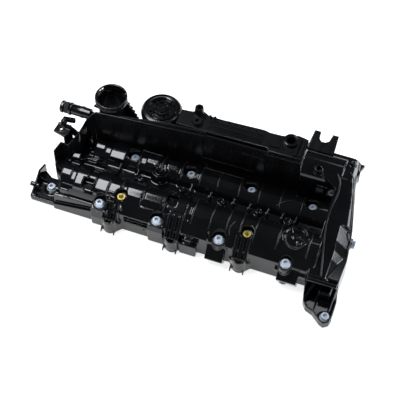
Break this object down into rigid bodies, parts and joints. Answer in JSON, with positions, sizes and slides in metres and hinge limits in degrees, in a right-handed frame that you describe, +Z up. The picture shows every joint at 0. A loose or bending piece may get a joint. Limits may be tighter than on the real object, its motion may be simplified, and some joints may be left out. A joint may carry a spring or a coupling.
{
  "type": "cylinder head cover",
  "caption": "Moulded cylinder head cover with oil separator, pressure control valve, filler neck, breather pipe, gasket and fasteners.",
  "frame": {"origin": "centre of the underside of the gasket's box", "axes": "+X along the crankshaft towards the high end, +Y across the engine towards the separator, +Z up from the sealing face"},
  "size_m": [0.4798, 0.24, 0.1305],
  "materials": {
    "black_moulding": "glossy",
    "black_separator": "satin",
    "black_fittings": "satin",
    "rubber": "matte",
    "zinc_plate": "satin",
    "steel": "satin",
    "brass": "satin",
    "valve_plate": "matte"
  },
  "bodies": {
    "cover": {"breather_pipe": "black_separator", "breather_pipe_seal": "rubber", "cable_fork": "black_separator", "corner_screw_1": "zinc_plate", "corner_screw_2": "zinc_plate", "cover_screw_1": "zinc_plate", "cover_screw_2": "zinc_plate", "cover_screw_3": "zinc_plate", "cover_screw_4": "zinc_plate", "cover_screw_5": "zinc_plate", "cover_screw_6": "zinc_plate", "cover_screw_7": "zinc_plate", "cover_screw_8": "zinc_plate", "cover_shell": "black_moulding", "cyclone_cone_1": "black_fittings", "cyclone_cone_2": "black_fittings", "cyclone_cone_3": "black_fittings", "cyclone_cone_4": "black_fittings", "filler_neck": "black_fittings", "filler_neck_seal": "rubber", "lower_insert_1": "brass", "lower_insert_2": "brass", "perimeter_gasket": "rubber", "pipe_bracket": "black_fittings", "rear_post": "black_separator", "screw_grommet_1": "rubber", "screw_grommet_2": "rubber", "screw_grommet_3": "rubber", "screw_grommet_4": "rubber", "screw_grommet_5": "rubber", "screw_grommet_6": "rubber", "screw_grommet_7": "rubber", "screw_grommet_8": "rubber", "screw_sleeve_1": "steel", "screw_sleeve_2": "steel", "screw_sleeve_3": "steel", "screw_sleeve_4": "steel", "screw_sleeve_5": "steel", "screw_sleeve_6": "steel", "screw_sleeve_7": "steel", "screw_sleeve_8": "steel", "separator_baffle": "black_fittings", "separator_housing": "black_separator", "separator_lid": "black_separator", "side_screw": "zinc_plate", "upper_insert_1": "brass", "upper_insert_2": "brass", "vacuum_nipple": "black_separator", "valve_cap": "black_fittings", "valve_diaphragm": "rubber", "valve_spring": "steel"},
    "valve_plate": {"valve_plate": "valve_plate"},
    "return_disc": {"return_disc": "rubber"}
  },
  "joints": [
    {"name": "valve_stroke", "type": "slide", "parent": "cover", "child": "valve_plate", "axis": [0, 0, 1], "range_m": [-0.004, 0], "stiffness_N_per_m": 150, "springref_m": 0.003, "deforming": ["valve_spring", "valve_diaphragm"]},
    {"name": "return_disc_lift", "type": "slide", "parent": "cover", "child": "return_disc", "axis": [0, 0, 1], "range_m": [0, 0.003]}
  ]
}
